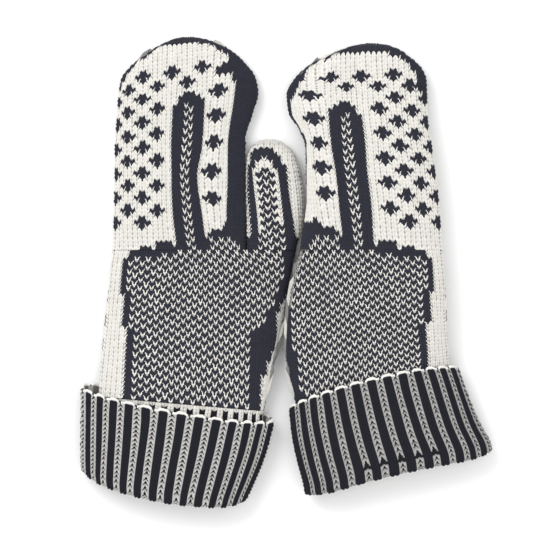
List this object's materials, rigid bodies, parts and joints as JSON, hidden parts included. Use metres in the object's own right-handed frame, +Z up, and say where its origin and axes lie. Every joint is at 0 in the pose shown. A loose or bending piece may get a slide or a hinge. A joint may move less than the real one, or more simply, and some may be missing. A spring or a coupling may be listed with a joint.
{
  "type": "pair of knitted mittens",
  "caption": "Hand-knitted stranded mittens in black and off-white, lying flat with palms up, with thumb gussets, rounded tips and turned-up ribbed cuffs.",
  "frame": {"origin": "centre of the pair's footprint, on the surface that the mittens lie on", "axes": "+X across the pair from the right-hand mitten to the left-hand one, +Y towards the fingertips, +Z up out of the palms"},
  "size_m": [0.2464, 0.2844, 0.0225],
  "materials": {
    "palm_knit": "stranded wool knit, near-black with alternate off-white stitches",
    "back_knit": "stranded wool knit, off-white with black plus motifs",
    "finger_knit": "stranded wool knit, off-white with black plus motifs, stripe and edge bands",
    "thumb_knit": "stranded wool knit, nested off-white and near-black arches",
    "rib_knit": "two-colour wool ribbing, near-black and grey-white ribs",
    "cast_on_yarn": "off-white wool cast-on row"
  },
  "bodies": {
    "right_hand": {"right_hand_palm": "palm_knit", "right_hand_back": "back_knit", "right_thumb_gusset": "back_knit", "right_wrist_rib_palm": "rib_knit", "right_wrist_rib_back": "rib_knit", "right_turned_cuff_palm": "rib_knit", "right_turned_cuff_back": "rib_knit", "right_cast_on_edge": "cast_on_yarn"},
    "right_fingers": {"right_fingers_palm": "finger_knit", "right_fingers_back": "finger_knit"},
    "right_thumb": {"right_thumb_palm": "thumb_knit", "right_thumb_back": "thumb_knit"},
    "left_hand": {"left_hand_palm": "palm_knit", "left_hand_back": "back_knit", "left_thumb_gusset": "back_knit", "left_wrist_rib_palm": "rib_knit", "left_wrist_rib_back": "rib_knit", "left_turned_cuff_palm": "rib_knit", "left_turned_cuff_back": "rib_knit", "left_cast_on_edge": "cast_on_yarn"},
    "left_fingers": {"left_fingers_palm": "finger_knit", "left_fingers_back": "finger_knit"},
    "left_thumb": {"left_thumb_palm": "thumb_knit", "left_thumb_back": "thumb_knit"}
  },
  "joints": [
    {"name": "right_finger_fold", "type": "hinge", "parent": "right_hand", "child": "right_fingers", "pos_m": [-0.0646, 0.0139, 0.0126], "axis": [1, 0, 0], "range_deg": [0, 150]},
    {"name": "right_thumb_fold", "type": "hinge", "parent": "right_hand", "child": "right_thumb", "pos_m": [-0.0092, 0.0139, 0.0126], "axis": [1, 0, 0], "range_deg": [0, 100]},
    {"name": "pair_separation", "type": "slide", "parent": "right_hand", "child": "left_hand", "axis": [1, 0, 0], "range_m": [0, 0.12]},
    {"name": "left_finger_fold", "type": "hinge", "parent": "left_hand", "child": "left_fingers", "pos_m": [0.051, 0.0139, 0.0225], "axis": [1, 0, 0], "range_deg": [0, 150]},
    {"name": "left_thumb_swing", "type": "hinge", "parent": "left_hand", "child": "left_thumb", "pos_m": [0.029, 0.008, 0.0047], "axis": [0, 0, -1], "range_deg": [0, 35]}
  ]
}
